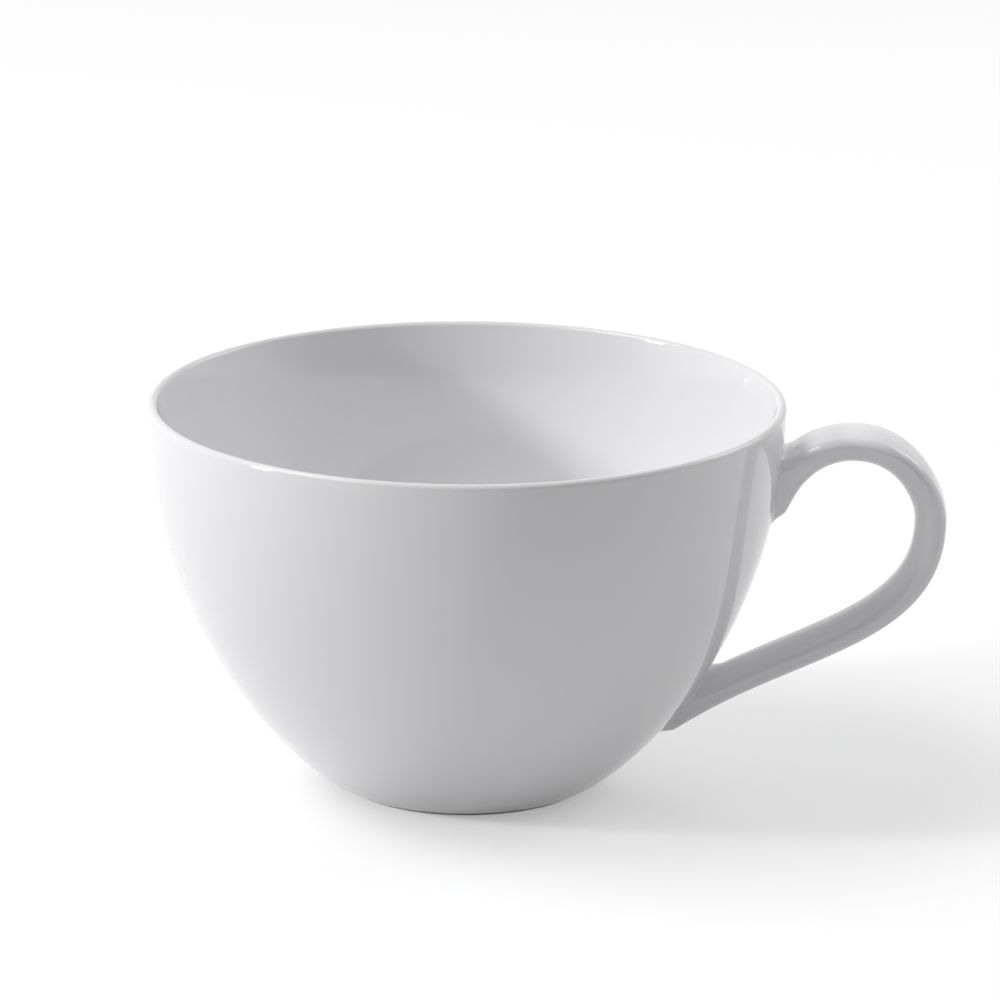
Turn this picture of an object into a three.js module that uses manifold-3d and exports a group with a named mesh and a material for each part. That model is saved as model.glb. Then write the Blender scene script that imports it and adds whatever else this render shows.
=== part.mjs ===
// Breakfast cup: a round porcelain bowl, and a strap handle stuck to it with two beads of slip.
// Millimetres, +Z up. The origin is on the table, under the middle of the cup's whole length,
// with the handle towards +X.
import * as THREE from 'three';
import { mergeVertices } from 'three/addons/utils/BufferGeometryUtils.js';
import Module from 'manifold-3d';

// Bowl
const RIM_DIAMETER = 116;
const CUP_HEIGHT = 72;
const LIP_THICKNESS = 1.8;
const WALL_THICKNESS = 4;
const WALL_TAPER = 6.5; // depth that takes the lip most of the way to the wall's thickness
const FLOOR_THICKNESS = 3.4;
const WALL_DROP = 47.2; // how far the upright tangent at the lip runs down
const WALL_LEAN = 0.5; // how far that tangent leans in
const BASE_SWEEP = 3.2; // how far the level tangent at the foot runs out
const ROUND_FLOOR_SHARE = 0.65; // share of the side where the wall's inside turns into the floor

// Foot ring
const FOOT_DIAMETER = 47;
const FOOT_RING_WIDTH = 3;
const FOOT_EDGE_RADIUS = 0.45;
const FOOT_RECESS = 1.6;
const RECESS_LEAN = 1; // how far the side of the recess leans in

// Route of the handle: upper root, crest, bend and lower root, on its centre line
const HANDLE_REACH = 87.5; // from the cup's axis to the outside of the bend
const UPPER_ROOT_BELOW_RIM = 15.25;
const UPPER_ROOT_ANGLE = 63; // degrees above level
const CREST_FROM_RIM = 12.5;
const CREST_BELOW_RIM = 6.57;
const BEND_BELOW_RIM = 20.7;
const LOWER_ROOT_HEIGHT = 14.35;
const LOWER_ROOT_ANGLE = 34; // degrees above level

// Lengths of the route's tangents at those places
const UPPER_ROOT_PULL = 6.8;
const CREST_PULL_IN = 5.3;
const CREST_PULL_OUT = 9.6;
const BEND_PULL_UP = 4.8;
const BEND_PULL_DOWN = 21;
const LOWER_ROOT_PULL = 25.2;

// Section of the strap at the upper root, crest, bend and lower root
const ROOT_THICKNESS = 6;
const CREST_THICKNESS = 5.05;
const BEND_THICKNESS = 5.85;
const TAIL_THICKNESS = 5.9;
const ROOT_WIDTH = 13.8;
const CREST_WIDTH = 13.8;
const BEND_WIDTH = 9.8;
const TAIL_WIDTH = 9.4;
const CREST_EDGE_RADIUS = 1.6; // outside edges, from the upper root to the crest
const TAIL_EDGE_RADIUS = 2.3; // outside edges at the lower root
const CROWN = 0.7; // how far the outside swells in its middle, from the upper root to the crest
const CREST_INNER_ROUND = 3.5; // reach of the finger side's rounds, from the upper root to the crest
const TAIL_INNER_ROUND = 4.4; // reach of the same rounds from the bend to the lower root

// Ends of the strap, and the slip joints
const BLUNT_END = 2.1; // distance off the bowl where the ends turn in
const BLUNT_TURN = 0.6; // how far they turn towards the bowl
const ROOT_BITE = 1.2; // how far the ends are made into the bowl before they are trimmed
const FILLET_RADIUS = 1.6;
const BEAD_EDGE = 0.2; // thickness where the bead runs out
const JOINT_GAP = 0.4; // clearance of each bead, and of the handle's ends, from what it meets
const ROOT_DEPTH = 6; // how far the handle's route runs on into the bowl

// Fineness of the solids
const TURN_STEPS = 60;
const WALL_STEPS = 16;
const FLOOR_STEPS = 5;
const ROUND_STEPS = 4;
const CROWN_STEPS = 4;
const ARC_STEPS = 12;
const BISECTIONS = 40;

const rimRadius = RIM_DIAMETER / 2;
const footRadius = FOOT_DIAMETER / 2;
const lipRadius = LIP_THICKNESS / 2;
const lipHeight = CUP_HEIGHT - lipRadius;
const floorHeight = FOOT_RECESS + FLOOR_THICKNESS;

const { clamp, degToRad, lerp, smoothstep } = THREE.MathUtils;
const at = (x, y) => new THREE.Vector2(x, y);

// Outside of the bowl, from the lip down to the foot: radius and height.
const bowlSide = new THREE.CubicBezierCurve(
  at(rimRadius, lipHeight),
  at(rimRadius - WALL_LEAN, lipHeight - WALL_DROP),
  at(footRadius + BASE_SWEEP, FOOT_EDGE_RADIUS),
  at(footRadius, FOOT_EDGE_RADIUS),
);

// The bowl's side moved outward by a distance, as points from the lip down to a share of its length.
function bowlSideMoved(distanceAt, lastShare = 1) {
  const points = [];
  for (let step = 0; step <= WALL_STEPS; step += 1) {
    const share = (step / WALL_STEPS) * lastShare;
    const tangent = bowlSide.getTangent(share);
    const outward = at(-tangent.y, tangent.x);
    points.push(bowlSide.getPoint(share).addScaledVector(outward, distanceAt(share)));
  }
  return points;
}

// Points of a round edge, without its ends.
function roundEdge(x, y, radius, startDegrees, endDegrees) {
  const points = [];
  for (let step = 1; step < ROUND_STEPS; step += 1) {
    const angle = degToRad(lerp(startDegrees, endDegrees, step / ROUND_STEPS));
    points.push(at(x + radius * Math.cos(angle), y + radius * Math.sin(angle)));
  }
  return points;
}

// Turns a profile of radius and height about the cup's upright axis.
function turned(profile) {
  return new THREE.LatheGeometry(profile, TURN_STEPS).rotateX(Math.PI / 2);
}

// Inside of the bowl from the lip to the floor: the wall grows from the lip's thickness to its own,
// and its last tangent turns into the level floor in one round.
function bowlInside() {
  const thickness = (share) => {
    const depth = lipHeight - bowlSide.getPoint(share).y;
    return lerp(WALL_THICKNESS, LIP_THICKNESS, Math.exp(-depth / WALL_TAPER));
  };
  const wall = bowlSideMoved((share) => -thickness(share), ROUND_FLOOR_SHARE);
  const wallEnd = wall[WALL_STEPS];
  const tangent = bowlSide.getTangent(ROUND_FLOOR_SHARE);
  const reach = (floorHeight - wallEnd.y) / tangent.y;
  const corner = wallEnd.clone().addScaledVector(tangent, reach);
  const floorRound = new THREE.QuadraticBezierCurve(wallEnd, corner, at(corner.x - reach, floorHeight));
  return [...wall, ...floorRound.getPoints(FLOOR_STEPS).slice(1)];
}

function bowlGeometry() {
  const ringInside = footRadius - FOOT_RING_WIDTH;
  const outside = bowlSideMoved(() => 0);
  return turned([
    at(0, FOOT_RECESS),
    at(ringInside - RECESS_LEAN, FOOT_RECESS),
    at(ringInside, FOOT_EDGE_RADIUS),
    ...roundEdge(ringInside + FOOT_EDGE_RADIUS, FOOT_EDGE_RADIUS, FOOT_EDGE_RADIUS, 180, 270),
    at(ringInside + FOOT_EDGE_RADIUS, 0),
    at(footRadius - FOOT_EDGE_RADIUS, 0),
    ...roundEdge(footRadius - FOOT_EDGE_RADIUS, FOOT_EDGE_RADIUS, FOOT_EDGE_RADIUS, 270, 360),
    ...outside.reverse(),
    ...roundEdge(rimRadius - lipRadius, lipHeight, lipRadius, 0, 90),
    at(rimRadius - lipRadius, CUP_HEIGHT),
    ...roundEdge(rimRadius - lipRadius, lipHeight, lipRadius, 90, 180),
    ...bowlInside(),
    at(0, floorHeight),
  ]);
}

// Radius of the bowl's outside at a height.
function bowlRadius(height) {
  let low = 0;
  let high = 1;
  for (let turn = 0; turn < BISECTIONS; turn += 1) {
    const middle = (low + high) / 2;
    if (bowlSide.getPoint(middle).y > height) {
      low = middle;
    } else {
      high = middle;
    }
  }
  return bowlSide.getPoint(low).x;
}

// Nearest place on the bowl's outside: how far away it is (negative inside the bowl) and
// which way the surface faces there.
function nearestOnBowl(point) {
  const place = at(Math.hypot(point.x, point.y), point.z);
  const slope = (share) => bowlSide.getPoint(share).sub(place).dot(bowlSide.getTangent(share));
  let low = 0;
  let high = 1;
  for (let turn = 0; turn < BISECTIONS; turn += 1) {
    const middle = (low + high) / 2;
    if (slope(middle) < 0) {
      low = middle;
    } else {
      high = middle;
    }
  }
  const tangent = bowlSide.getTangent(low);
  const facing = at(-tangent.y, tangent.x);
  const distance = place.clone().sub(bowlSide.getPoint(low)).dot(facing);
  const round = facing.x / place.x;
  return { distance, facing: new THREE.Vector3(point.x * round, point.y * round, facing.y) };
}

// Route of the handle's centre line in the upright plane through the cup's axis.
const upperRootHeight = CUP_HEIGHT - UPPER_ROOT_BELOW_RIM;
const upperRoot = at(bowlRadius(upperRootHeight), upperRootHeight);
const crest = at(rimRadius + CREST_FROM_RIM, CUP_HEIGHT - CREST_BELOW_RIM);
const bend = at(HANDLE_REACH - BEND_THICKNESS / 2, CUP_HEIGHT - BEND_BELOW_RIM);
const lowerRoot = at(bowlRadius(LOWER_ROOT_HEIGHT), LOWER_ROOT_HEIGHT);
const heading = (degrees) => at(Math.cos(degToRad(degrees)), Math.sin(degToRad(degrees)));
const handleArcs = [
  new THREE.CubicBezierCurve(
    upperRoot,
    upperRoot.clone().addScaledVector(heading(UPPER_ROOT_ANGLE), UPPER_ROOT_PULL),
    at(crest.x - CREST_PULL_IN, crest.y),
    crest,
  ),
  new THREE.CubicBezierCurve(
    crest,
    at(crest.x + CREST_PULL_OUT, crest.y),
    at(bend.x, bend.y + BEND_PULL_UP),
    bend,
  ),
  new THREE.CubicBezierCurve(
    bend,
    at(bend.x, bend.y - BEND_PULL_DOWN),
    lowerRoot.clone().addScaledVector(heading(LOWER_ROOT_ANGLE), LOWER_ROOT_PULL),
    lowerRoot,
  ),
];

// Stations along the handle: 0 upper root, 1 crest, 2 bend, 3 lower root. It runs straight on
// into the wall before 0 and after 3, by the root depth for each whole station.
const UPPER_ROOT_STATION = 0;
const LOWER_ROOT_STATION = handleArcs.length;

function stationArc(station) {
  const along = clamp(station, UPPER_ROOT_STATION, LOWER_ROOT_STATION);
  const arc = Math.min(Math.floor(along), handleArcs.length - 1);
  return { arc, share: along - arc, beyond: station - along };
}

function handleCentre(station) {
  const { arc, share, beyond } = stationArc(station);
  const tangent = handleArcs[arc].getTangent(share);
  const point = handleArcs[arc].getPoint(share).addScaledVector(tangent, beyond * ROOT_DEPTH);
  return { point, outward: at(-tangent.y, tangent.x) };
}

function sizeAt(sizes, station) {
  const { arc, share } = stationArc(station);
  return lerp(sizes[arc], sizes[arc + 1], smoothstep(share, 0, 1));
}

// Section of the strap, as places and facings: a crowned outside with round edges, from which the
// sides curve down to the finger side. The first coordinate is outward, the second across the strap.
function strapSection(station) {
  const thickness = sizeAt([ROOT_THICKNESS, CREST_THICKNESS, BEND_THICKNESS, TAIL_THICKNESS], station);
  const width = sizeAt([ROOT_WIDTH, CREST_WIDTH, BEND_WIDTH, TAIL_WIDTH], station);
  const bendEdge = (CREST_EDGE_RADIUS + TAIL_EDGE_RADIUS) / 2;
  const outerEdge = sizeAt([CREST_EDGE_RADIUS, CREST_EDGE_RADIUS, bendEdge, TAIL_EDGE_RADIUS], station);
  const innerRounds = [CREST_INNER_ROUND, CREST_INNER_ROUND, TAIL_INNER_ROUND, TAIL_INNER_ROUND];
  const innerRound = Math.min(sizeAt(innerRounds, station), width / 2);
  const crown = sizeAt([CROWN, CROWN, CROWN / 2, 0], station);
  const half = at(thickness / 2, width / 2);
  const points = [];
  const addPoint = (place, facing) => {
    const share = place.clone().divide(half);
    place.x -= crown * share.y ** 2 * clamp(share.x, 0, 1);
    points.push({ place, facing });
  };
  for (let corner = 0; corner < 4; corner += 1) {
    const side = at(corner === 0 || corner === 3 ? 1 : -1, corner < 2 ? 1 : -1);
    const reach = side.x > 0 ? at(outerEdge, outerEdge) : at(thickness - outerEdge, innerRound);
    const centre = half.clone().sub(reach).multiply(side);
    const firstStep = corner % 2; // the second corner of each side starts where the first one ends
    for (let step = firstStep; step <= ROUND_STEPS; step += 1) {
      const way = heading((corner + step / ROUND_STEPS) * 90);
      addPoint(way.clone().multiply(reach).add(centre), way.divide(reach).normalize());
    }
  }
  const flat = half.y - outerEdge;
  for (let step = 1; step < CROWN_STEPS; step += 1) {
    addPoint(at(half.x, lerp(-flat, flat, step / CROWN_STEPS)), at(1, 0));
  }
  return points;
}

// Places and facings on the strap's surface round one station.
function strapRing(station) {
  const { point, outward } = handleCentre(station);
  const stand = (out, across) => new THREE.Vector3(outward.x * out, across, outward.y * out);
  const centre = new THREE.Vector3(point.x, 0, point.y);
  return strapSection(station).map(({ place, facing }) => ({
    place: stand(place.x, place.y).add(centre),
    facing: stand(facing.x, facing.y),
  }));
}

// Skins rings of equal length into a closed body: its ends are capped, or joined to each other.
function skinned(rings, joined) {
  const size = rings[0].length;
  const points = rings.flat();
  const index = [];
  const lastRing = joined ? rings.length : rings.length - 1;
  for (let ring = 0; ring < lastRing; ring += 1) {
    const here = ring * size;
    const next = ((ring + 1) % rings.length) * size;
    for (let side = 0; side < size; side += 1) {
      const beside = (side + 1) % size;
      index.push(here + side, next + side, here + beside);
      index.push(here + beside, next + side, next + beside);
    }
  }
  if (!joined) {
    for (let side = 1; side < size - 1; side += 1) {
      const end = (rings.length - 1) * size;
      index.push(0, side, side + 1);
      index.push(end, end + side + 1, end + side);
    }
  }
  const geometry = new THREE.BufferGeometry().setFromPoints(points);
  geometry.setIndex(index);
  geometry.computeVertexNormals();
  return geometry;
}

const wasm = await Module();
wasm.setup();

function solid(geometry) {
  const bare = geometry.clone();
  bare.deleteAttribute('normal');
  bare.deleteAttribute('uv');
  const merged = mergeVertices(bare);
  const corners = merged.index.array;
  const triVerts = [];
  for (let first = 0; first < corners.length; first += 3) {
    const [a, b, c] = corners.slice(first, first + 3);
    if (a !== b && b !== c && c !== a) {
      triVerts.push(a, b, c);
    }
  }
  const vertProperties = merged.attributes.position.array;
  return new wasm.Manifold(
    new wasm.Mesh({ numProp: 3, vertProperties, triVerts: Uint32Array.from(triVerts) }),
  );
}

function geometryOf(manifold) {
  const mesh = manifold.getMesh();
  const geometry = new THREE.BufferGeometry();
  geometry.setAttribute('position', new THREE.BufferAttribute(mesh.vertProperties, 3));
  geometry.setIndex(new THREE.BufferAttribute(mesh.triVerts, 1));
  geometry.computeVertexNormals();
  return geometry;
}

// The station where one line along the strap stands a distance off the bowl, near a root.
function stationOffBowl(side, rootStation, distance) {
  const outDirection = rootStation === UPPER_ROOT_STATION ? 1 : -1;
  let inner = rootStation - outDirection;
  let outer = rootStation + outDirection;
  for (let turn = 0; turn < BISECTIONS; turn += 1) {
    const middle = (inner + outer) / 2;
    if (nearestOnBowl(strapRing(middle)[side].place).distance < distance) {
      inner = middle;
    } else {
      outer = middle;
    }
  }
  return outer;
}

const strapSides = strapSection(UPPER_ROOT_STATION).map((_, side) => side);
const bluntStations = (rootStation) =>
  strapSides.map((side) => stationOffBowl(side, rootStation, BLUNT_END));
const bluntEnds = new Map([
  [UPPER_ROOT_STATION, { stations: bluntStations(UPPER_ROOT_STATION), inward: -1 }],
  [LOWER_ROOT_STATION, { stations: bluntStations(LOWER_ROOT_STATION), inward: 1 }],
]);

// The place on one line of a blunt end at a distance off the bowl, and the line's facing.
function bluntPlace(side, rootStation, distance) {
  const { stations, inward } = bluntEnds.get(rootStation);
  const { place, facing } = strapRing(stations[side])[side];
  const { arc, share } = stationArc(rootStation);
  const tangent = handleArcs[arc].getTangent(share).multiplyScalar(inward);
  const wall = nearestOnBowl(place).facing;
  const way = new THREE.Vector3(tangent.x, 0, tangent.y).addScaledVector(wall, -BLUNT_TURN);
  const descent = (BLUNT_END - distance) / -way.dot(wall);
  return { place: place.clone().addScaledVector(way, descent), facing };
}

// The strap with its blunt ends, trimmed to the bowl's outside with the joint's gap.
function handleGeometry() {
  const starts = bluntEnds.get(UPPER_ROOT_STATION).stations;
  const ends = bluntEnds.get(LOWER_ROOT_STATION).stations;
  const inBowl = (rootStation) => strapSides.map((side) => bluntPlace(side, rootStation, -ROOT_BITE).place);
  const steps = LOWER_ROOT_STATION * ARC_STEPS;
  const rings = [inBowl(UPPER_ROOT_STATION)];
  for (let step = 0; step <= steps; step += 1) {
    const station = (side) => lerp(starts[side], ends[side], step / steps);
    rings.push(strapSides.map((side) => strapRing(station(side))[side].place));
  }
  rings.push(inBowl(LOWER_ROOT_STATION));
  const trim = turned([
    at(0, FOOT_EDGE_RADIUS - JOINT_GAP),
    ...bowlSideMoved(() => JOINT_GAP).reverse(),
    at(0, lipHeight),
  ]);
  return geometryOf(solid(skinned(rings, false)).subtract(solid(trim)));
}

// One ring of a bead: the strap's outline at a height above the bowl, widened along the bowl.
function beadRing(rootStation, height, spread) {
  return strapSides.map((side) => {
    const { place, facing } = bluntPlace(side, rootStation, height);
    const wall = nearestOnBowl(place).facing;
    const alongWall = facing.clone().addScaledVector(wall, -facing.dot(wall)).normalize();
    return place.clone().addScaledVector(alongWall, spread);
  });
}

// The bead of slip round one root: a hollow fillet between the strap and the bowl.
function beadGeometry(rootStation) {
  const edgeAngle = Math.acos(1 - BEAD_EDGE / FILLET_RADIUS);
  const height = (angle) => JOINT_GAP + FILLET_RADIUS * (1 - Math.sin(angle));
  const spread = (angle) => JOINT_GAP + FILLET_RADIUS * (1 - Math.cos(angle));
  const steepest = Math.PI / 2 - edgeAngle;
  const rings = [beadRing(rootStation, height(edgeAngle), JOINT_GAP)];
  for (let step = 0; step <= ROUND_STEPS; step += 1) {
    const angle = lerp(edgeAngle, steepest, step / ROUND_STEPS);
    rings.push(beadRing(rootStation, height(angle), spread(angle)));
  }
  rings.push(beadRing(rootStation, JOINT_GAP, spread(steepest)));
  rings.push(beadRing(rootStation, JOINT_GAP, JOINT_GAP));
  return skinned(rootStation === UPPER_ROOT_STATION ? rings.reverse() : rings, true);
}

const cup = new THREE.Group();
cup.position.x = (rimRadius - HANDLE_REACH) / 2;

function addPiece(name, geometry) {
  const glaze = new THREE.MeshStandardMaterial({ color: 0xf1f1f3, roughness: 0.08, metalness: 0 });
  const piece = new THREE.Mesh(geometry, glaze);
  piece.name = name;
  cup.add(piece);
}

addPiece('bowl', bowlGeometry());
addPiece('handle', handleGeometry());
addPiece('upper_joint', beadGeometry(UPPER_ROOT_STATION));
addPiece('lower_joint', beadGeometry(LOWER_ROOT_STATION));

export default cup;
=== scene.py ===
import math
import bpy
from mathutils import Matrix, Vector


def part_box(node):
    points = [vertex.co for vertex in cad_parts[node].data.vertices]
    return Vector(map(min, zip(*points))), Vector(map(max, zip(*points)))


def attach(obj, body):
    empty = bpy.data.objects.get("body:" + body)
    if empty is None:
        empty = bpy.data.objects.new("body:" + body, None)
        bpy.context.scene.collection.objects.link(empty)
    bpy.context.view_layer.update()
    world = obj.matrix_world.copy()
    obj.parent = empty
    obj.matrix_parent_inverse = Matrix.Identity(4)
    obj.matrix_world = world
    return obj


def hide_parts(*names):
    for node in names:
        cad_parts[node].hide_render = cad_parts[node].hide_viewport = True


bl_info = {
    "name": "Breakfast cup",
    "version": (1, 0, 0),
    "blender": (4, 5, 0),
    "location": "View3D > Sidebar > Cup",
    "description": "Glazed porcelain bowl, strap handle and slip joints of a breakfast cup, with its studio",
    "category": "Object",
}

import bmesh
import bpy
import numpy as np
from bpy.props import FloatProperty, FloatVectorProperty, IntProperty, PointerProperty
from mathutils import Matrix, Vector

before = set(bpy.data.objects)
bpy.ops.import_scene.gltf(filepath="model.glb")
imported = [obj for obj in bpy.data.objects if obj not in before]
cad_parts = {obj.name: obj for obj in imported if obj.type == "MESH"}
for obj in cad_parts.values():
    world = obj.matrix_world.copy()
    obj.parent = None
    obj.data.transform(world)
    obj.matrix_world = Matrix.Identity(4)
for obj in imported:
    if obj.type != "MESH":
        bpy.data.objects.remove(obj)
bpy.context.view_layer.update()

MM = 0.001
BOWL_LOW, BOWL_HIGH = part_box("bowl")
HANDLE_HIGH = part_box("handle")[1]
AXIS_X = (BOWL_LOW.x + BOWL_HIGH.x) / 2
BODY = "root"

# Stations along the handle are counted from root to root, with the crest and the bend between.
UPPER_ROOT = 0
LOWER_ROOT = 3

# How finely curves are searched, and how surfaces are cut.
SIDE_SAMPLES = 4000
HALVINGS = 44
LEVEL_STEPS = 6
STANDING_POINTS = 5
WALL_STEPS_PER_ROUND_STEP = 3
CARD_STEPS = 36

# Hidden borders of the slip fillets, counted in sinks, and how late they dip.
LEAD_SINKS = 6
STRAP_SINKS = 2
WALL_SINKS = 3
DIP_POWER = 4

# Glaze: settings of its skin and its noises, then spans of noise and what they are mapped to.
SKIN_INPUTS = {
    "Cloud Scale": 28.0, "Ripple Scale": 240.0, "Speck Scale": 95.0, "Speck Share": 0.1, "Gloss": 0.06,
}
BOWL_SKIN = {"Cloud Scale": 22.0, "Ripple Scale": 230.0}
STRAP_SKIN = {"Cloud Scale": 45.0, "Ripple Scale": 280.0, "Speck Share": 0.06}
CLOUD_NOISE = {"Detail": 4.0, "Roughness": 0.55}
RIPPLE_NOISE = {"Detail": 1.5, "Roughness": 0.4}
LINE_NOISE = {"Scale": 300.0, "Detail": 3.0}
GRAIN_NOISE = {"Scale": 1800.0, "Detail": 4.0}
NOISE_SPAN = (0.3, 0.7)
GLOSS_SPAN = (0.35, 0.75)
GLOSS_CHANGE = (-0.015, 0.03)
GRAIN_SPAN = (0.35, 0.65)
SPECK_WIDTHS = (0.008, 0.02)
SPECK_BLUR = (0.5, 1.0)
SPECK_STRENGTH = 0.5
SPECK_ROUGHNESS = 0.25
SPECK_DEPTH = 0.6
CLOUD_SHADE = 0.988
CLAY_SHADE = 0.86
CLAY_SMOOTHER = 0.1
CLAY_ROUGHER = 0.15
LINE_WANDER = 0.08 * MM
LINE_BLUR = 0.05 * MM
EDGE_SPAN = (0.53, 0.6)
THIN_SPAN = (0.0, 0.6)
FALLING = (1.0, 0.0)
GLAZE_IOR = 1.5

# Stage and node layout.
CLIP_START = 0.05
CLIP_END = 60.0
FRONT_TURN = -math.pi / 2
CARD_END = "card_end"
WHITE = (1.0, 1.0, 1.0)
NODE_SPACING = 180


def length(name, description, default):
    """A length in metres that a user may change."""
    return FloatProperty(
        name=name, description=description, default=default, min=0.0, unit="LENGTH", precision=5
    )


def angle(name, description, degrees):
    """An angle that a user may change."""
    return FloatProperty(
        name=name, description=description, default=math.radians(degrees), subtype="ANGLE"
    )


def factor(name, description, default, largest=1.0):
    """A plain number from nought to a largest value."""
    return FloatProperty(name=name, description=description, default=default, min=0.0, max=largest)


def power(name, description, default):
    """A lamp's power in watts."""
    return FloatProperty(name=name, description=description, default=default, min=0.0, unit="POWER")


def steps(name, description, default):
    """A count of steps that a curve is cut into."""
    return IntProperty(name=name, description=description, default=default, min=2)


def colour(name, description, default):
    """A linear colour."""
    return FloatVectorProperty(
        name=name, description=description, default=default, subtype="COLOR", size=3, min=0.0, max=1.0
    )


class CupBowlSizes(bpy.types.PropertyGroup):
    """Sizes of the bowl, its lip and its foot"""

    rim_diameter: length("Rim diameter", "Across the outside of the lip", BOWL_HIGH.x - BOWL_LOW.x)
    height: length("Height", "From the table to the top of the lip", BOWL_HIGH.z)
    lip_thickness: length("Lip", "Thickness of the rounded lip", 1.8 * MM)
    wall_thickness: length("Wall", "Thickness of the wall halfway down", 4.0 * MM)
    floor_thickness: length("Floor", "Thickness of the floor over the recess", 3.4 * MM)
    wall_drop: length("Wall drop", "How far the wall goes down before it curves in", 47.2 * MM)
    wall_lean: length("Wall lean", "How far the wall leans in over that drop", 0.5 * MM)
    base_sweep: length("Base sweep", "How far the base sweeps out of the foot", 3.2 * MM)
    wall_taper: length("Wall taper", "Depth that takes the lip most of the way to the wall", 6.5 * MM)
    round_floor_share: factor("Round floor", "Share of the side where the floor's round starts", 0.65)
    foot_diameter: length("Foot diameter", "Across the foot ring", 47.0 * MM)
    foot_ring_width: length("Foot ring width", "Width of the foot ring", 3.0 * MM)
    foot_edge_radius: length("Foot edge", "Radius of the foot ring's edges", 0.45 * MM)
    foot_recess: length("Recess", "Height of the recess inside the foot ring", 1.6 * MM)
    recess_lean: length("Recess lean", "How far the recess narrows upwards", 1.0 * MM)
    recess_round: length("Recess round", "Reach of the round in the recess's corner", 0.7 * MM)
    turn_steps: steps("Turn steps", "Steps round the axis", 256)
    side_steps: steps("Side steps", "Steps down the wall", 96)
    edge_steps: steps("Edge steps", "Steps round each half of an edge", 8)


class CupHandleSizes(bpy.types.PropertyGroup):
    """Route and section of the strap handle and the reach of its joints"""

    reach: length("Reach", "From the cup's axis to the handle's far side", HANDLE_HIGH.x - AXIS_X)
    upper_root_height: length("Upper root", "Height of the upper root", 56.75 * MM)
    upper_root_angle: angle("Upper root heading", "Heading of the strap at the upper root", 63.0)
    upper_root_pull: length("Upper root pull", "How far the strap holds that heading", 6.8 * MM)
    crest_from_axis: length("Crest", "From the cup's axis to the strap's crest", 70.5 * MM)
    crest_height: length("Crest height", "Height of the centre line at the crest", 65.43 * MM)
    crest_pull_in: length("Crest pull in", "Level run before the crest", 5.3 * MM)
    crest_pull_out: length("Crest pull out", "Level run after the crest", 9.6 * MM)
    bend_height: length("Bend height", "Height of the strap's furthest place", 51.3 * MM)
    bend_pull_up: length("Bend pull up", "Upright run above the bend", 4.8 * MM)
    bend_pull_down: length("Bend pull down", "Upright run below the bend", 21.0 * MM)
    lower_root_height: length("Lower root", "Height of the lower root", 14.35 * MM)
    lower_root_angle: angle("Lower root heading", "Heading of the strap at the lower root", 34.0)
    lower_root_pull: length("Lower root pull", "How far the strap holds that heading", 25.2 * MM)
    root_thickness: length("Root thickness", "Strap thickness at the upper root", 6.0 * MM)
    crest_thickness: length("Crest thickness", "Strap thickness at the crest", 5.05 * MM)
    bend_thickness: length("Bend thickness", "Strap thickness at the bend", 5.85 * MM)
    tail_thickness: length("Tail thickness", "Strap thickness at the lower root", 5.9 * MM)
    root_width: length("Root width", "Strap width at the upper root", 13.8 * MM)
    crest_width: length("Crest width", "Strap width at the crest", 13.8 * MM)
    bend_width: length("Bend width", "Strap width at the bend", 9.8 * MM)
    tail_width: length("Tail width", "Strap width at the lower root", 9.4 * MM)
    crest_edge: length("Crest edge", "Radius of the outer edges at the crest", 1.6 * MM)
    tail_edge: length("Tail edge", "Radius of the outer edges at the lower root", 2.3 * MM)
    crown: length("Crown", "How far the outside swells in its middle at the crest", 0.7 * MM)
    crest_inner_round: length("Crest inner round", "Reach of the finger side's rounds at the crest", 3.5 * MM)
    tail_inner_round: length(
        "Tail inner round", "Reach of the finger side's rounds at the lower root", 4.4 * MM
    )
    root_depth: length("Root depth", "How far the ends run straight on for each whole station", 6.0 * MM)
    wall_bite: length("Wall bite", "How far the ends sit in the bowl's wall", 1.2 * MM)
    blunt: length("Blunt end", "Distance off the wall where the strap's ends turn in", 2.1 * MM)
    blunt_round: length("Blunt round", "Reach of the round where the ends turn in", 0.25 * MM)
    blunt_turn: factor("Blunt turn", "How far the ends turn towards the wall", 0.6)
    fillet: length("Fillet", "Reach of the slip joint along the strap and along the wall", 1.1 * MM)
    fillet_sink: length("Fillet sink", "How far the fillet's borders dip under what they meet", 0.04 * MM)
    strap_steps: steps("Strap steps", "Steps along the strap", 210)
    edge_steps: steps("Edge steps", "Steps round each edge of the strap", 12)
    end_steps: steps("End steps", "Steps down each blunt end", 10)
    fillet_steps: steps("Fillet steps", "Steps across each fillet", 12)


class CupGlaze(bpy.types.PropertyGroup):
    """Colours and finish of the porcelain"""

    glaze: colour("Glaze", "White of the glazed porcelain", (0.895, 0.895, 0.909))
    thin_glaze: colour("Thin glaze", "Where the glaze runs thin over an edge", (0.9, 0.897, 0.89))
    bare_clay: colour("Bare clay", "Fired clay of the standing ring", (0.76, 0.73, 0.68))
    speck: colour("Speck", "Fine iron specks under the glaze", (0.52, 0.47, 0.41))
    gloss_roughness: factor("Gloss", "Roughness of the glaze", 0.06)
    clay_roughness: factor("Clay roughness", "Roughness of the bare clay", 0.7)
    ripple_depth: length("Ripple", "Depth of the glaze's waviness", 0.02 * MM)
    glaze_line: length("Glaze line", "Height where the glaze stops on the foot", 0.2 * MM)


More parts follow.
